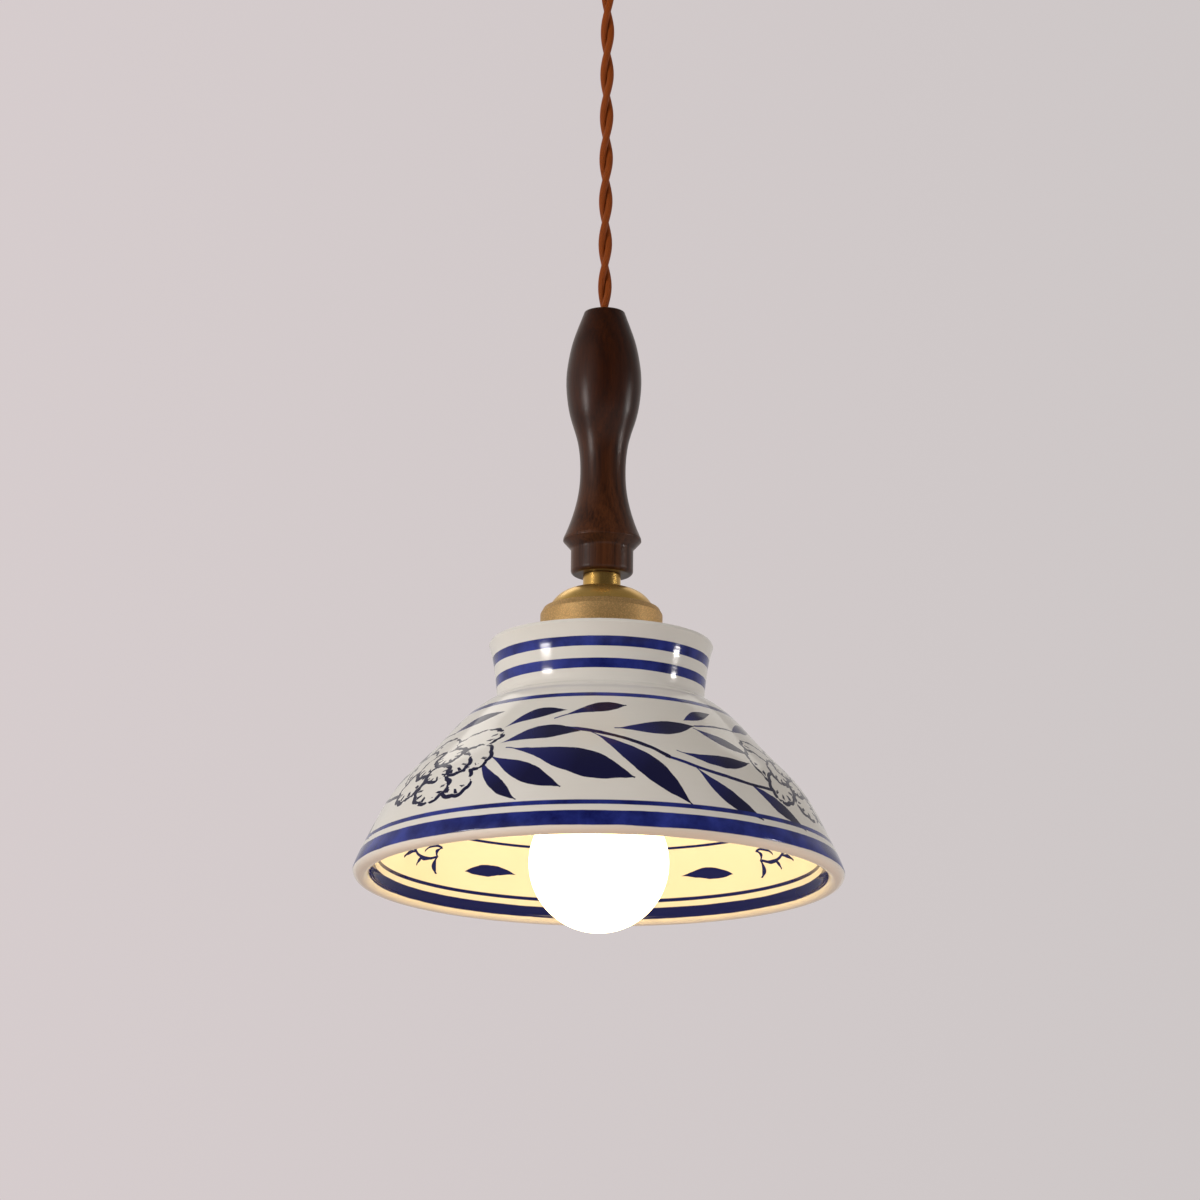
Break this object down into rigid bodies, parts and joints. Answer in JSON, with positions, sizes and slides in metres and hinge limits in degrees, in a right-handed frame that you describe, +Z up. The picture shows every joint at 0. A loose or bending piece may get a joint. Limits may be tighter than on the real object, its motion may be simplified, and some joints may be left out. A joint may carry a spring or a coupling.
{
  "type": "pendant light",
  "caption": "Pendant light: turned dark wood handle on a twisted textile cord, brass cap, upturned blue and white ceramic bowl shade and an opal globe bulb, with its ceiling fitting.",
  "frame": {"origin": "centre of the ceiling fitting's upper face, which lies against the ceiling", "axes": "+Z up, out of the ceiling face; X along the bracket and its two side screws; the lamp hangs along -Z"},
  "size_m": [0.2104, 0.2104, 0.4644],
  "materials": {
    "satin_brass": "satin",
    "polished_brass": "polished",
    "textured_brass": "satin",
    "zinc_steel": "satin",
    "black_nylon": "matte",
    "white_nylon": "satin",
    "brown_textile": "matte",
    "brown_core": "satin",
    "blue_core": "satin",
    "dark_walnut": "satin",
    "black_rubber": "matte",
    "white_glaze": "gloss",
    "red_fibre": "matte",
    "black_bakelite": "gloss",
    "porcelain": "gloss",
    "opal_glass": "gloss",
    "nickel_cap": "polished",
    "black_glass": "gloss",
    "led_aluminium": "satin",
    "led_yellow": "gloss"
  },
  "bodies": {
    "ceiling_fitting": {"ceiling_bracket": "zinc_steel", "canopy_cup": "satin_brass", "canopy_screws": "polished_brass", "gland_body": "satin_brass", "gland_cap": "polished_brass", "gland_washer": "zinc_steel", "gland_nut": "zinc_steel", "cord_tail": "brown_textile", "cord_stop": "polished_brass", "cord_stop_screw": "zinc_steel", "supply_lead_live": "brown_core", "supply_lead_neutral": "blue_core", "terminal_block": "white_nylon", "terminal_screws": "zinc_steel", "block_screw": "zinc_steel", "earth_screw": "polished_brass"},
    "gland_ball": {"cord_bush": "black_nylon"},
    "cord_run": {"cord": "brown_textile", "cord_collar": "zinc_steel"},
    "lamp": {"wood_handle": "dark_walnut", "handle_insert": "polished_brass", "threaded_tube": "zinc_steel", "lamp_lead_live": "brown_core", "lamp_lead_neutral": "blue_core", "neck_collar": "polished_brass", "cap_dome": "satin_brass", "dome_washer": "zinc_steel", "dome_nut": "zinc_steel", "cap_band": "textured_brass", "band_gasket": "black_rubber", "ceramic_shade": "white_glaze", "fibre_washer": "red_fibre", "shade_ring": "black_bakelite", "lampholder_cap": "black_bakelite", "lampholder_skirt": "black_bakelite", "holder_core": "porcelain", "thread_shell": "polished_brass", "centre_contact": "polished_brass", "side_contact": "polished_brass", "holder_terminals": "polished_brass", "holder_screws": "zinc_steel"},
    "bulb": {"bulb_globe": "opal_glass", "bulb_cap": "nickel_cap", "bulb_insulator": "black_glass", "bulb_tip": "zinc_steel", "bulb_driver": "white_nylon", "led_board": "led_aluminium", "led_chips": "led_yellow"}
  },
  "joints": [
    {"name": "swing_x", "type": "hinge", "parent": "ceiling_fitting", "child": "gland_ball", "pos_m": [0, 0, -0.0335], "axis": [1, 0, 0], "range_deg": [-20, 20]},
    {"name": "swing_y", "type": "hinge", "parent": "gland_ball", "child": "cord_run", "pos_m": [0, 0, -0.0335], "axis": [0, 1, 0], "range_deg": [-20, 20]},
    {"name": "lamp_twist", "type": "hinge", "parent": "cord_run", "child": "lamp", "pos_m": [0, 0, -0.1865], "axis": [0, 0, 1], "range_deg": [-180, 180]},
    {"name": "bulb_out", "type": "slide", "parent": "lamp", "child": "bulb", "axis": [0, 0, -1], "range_m": [0, 0.1]}
  ]
}
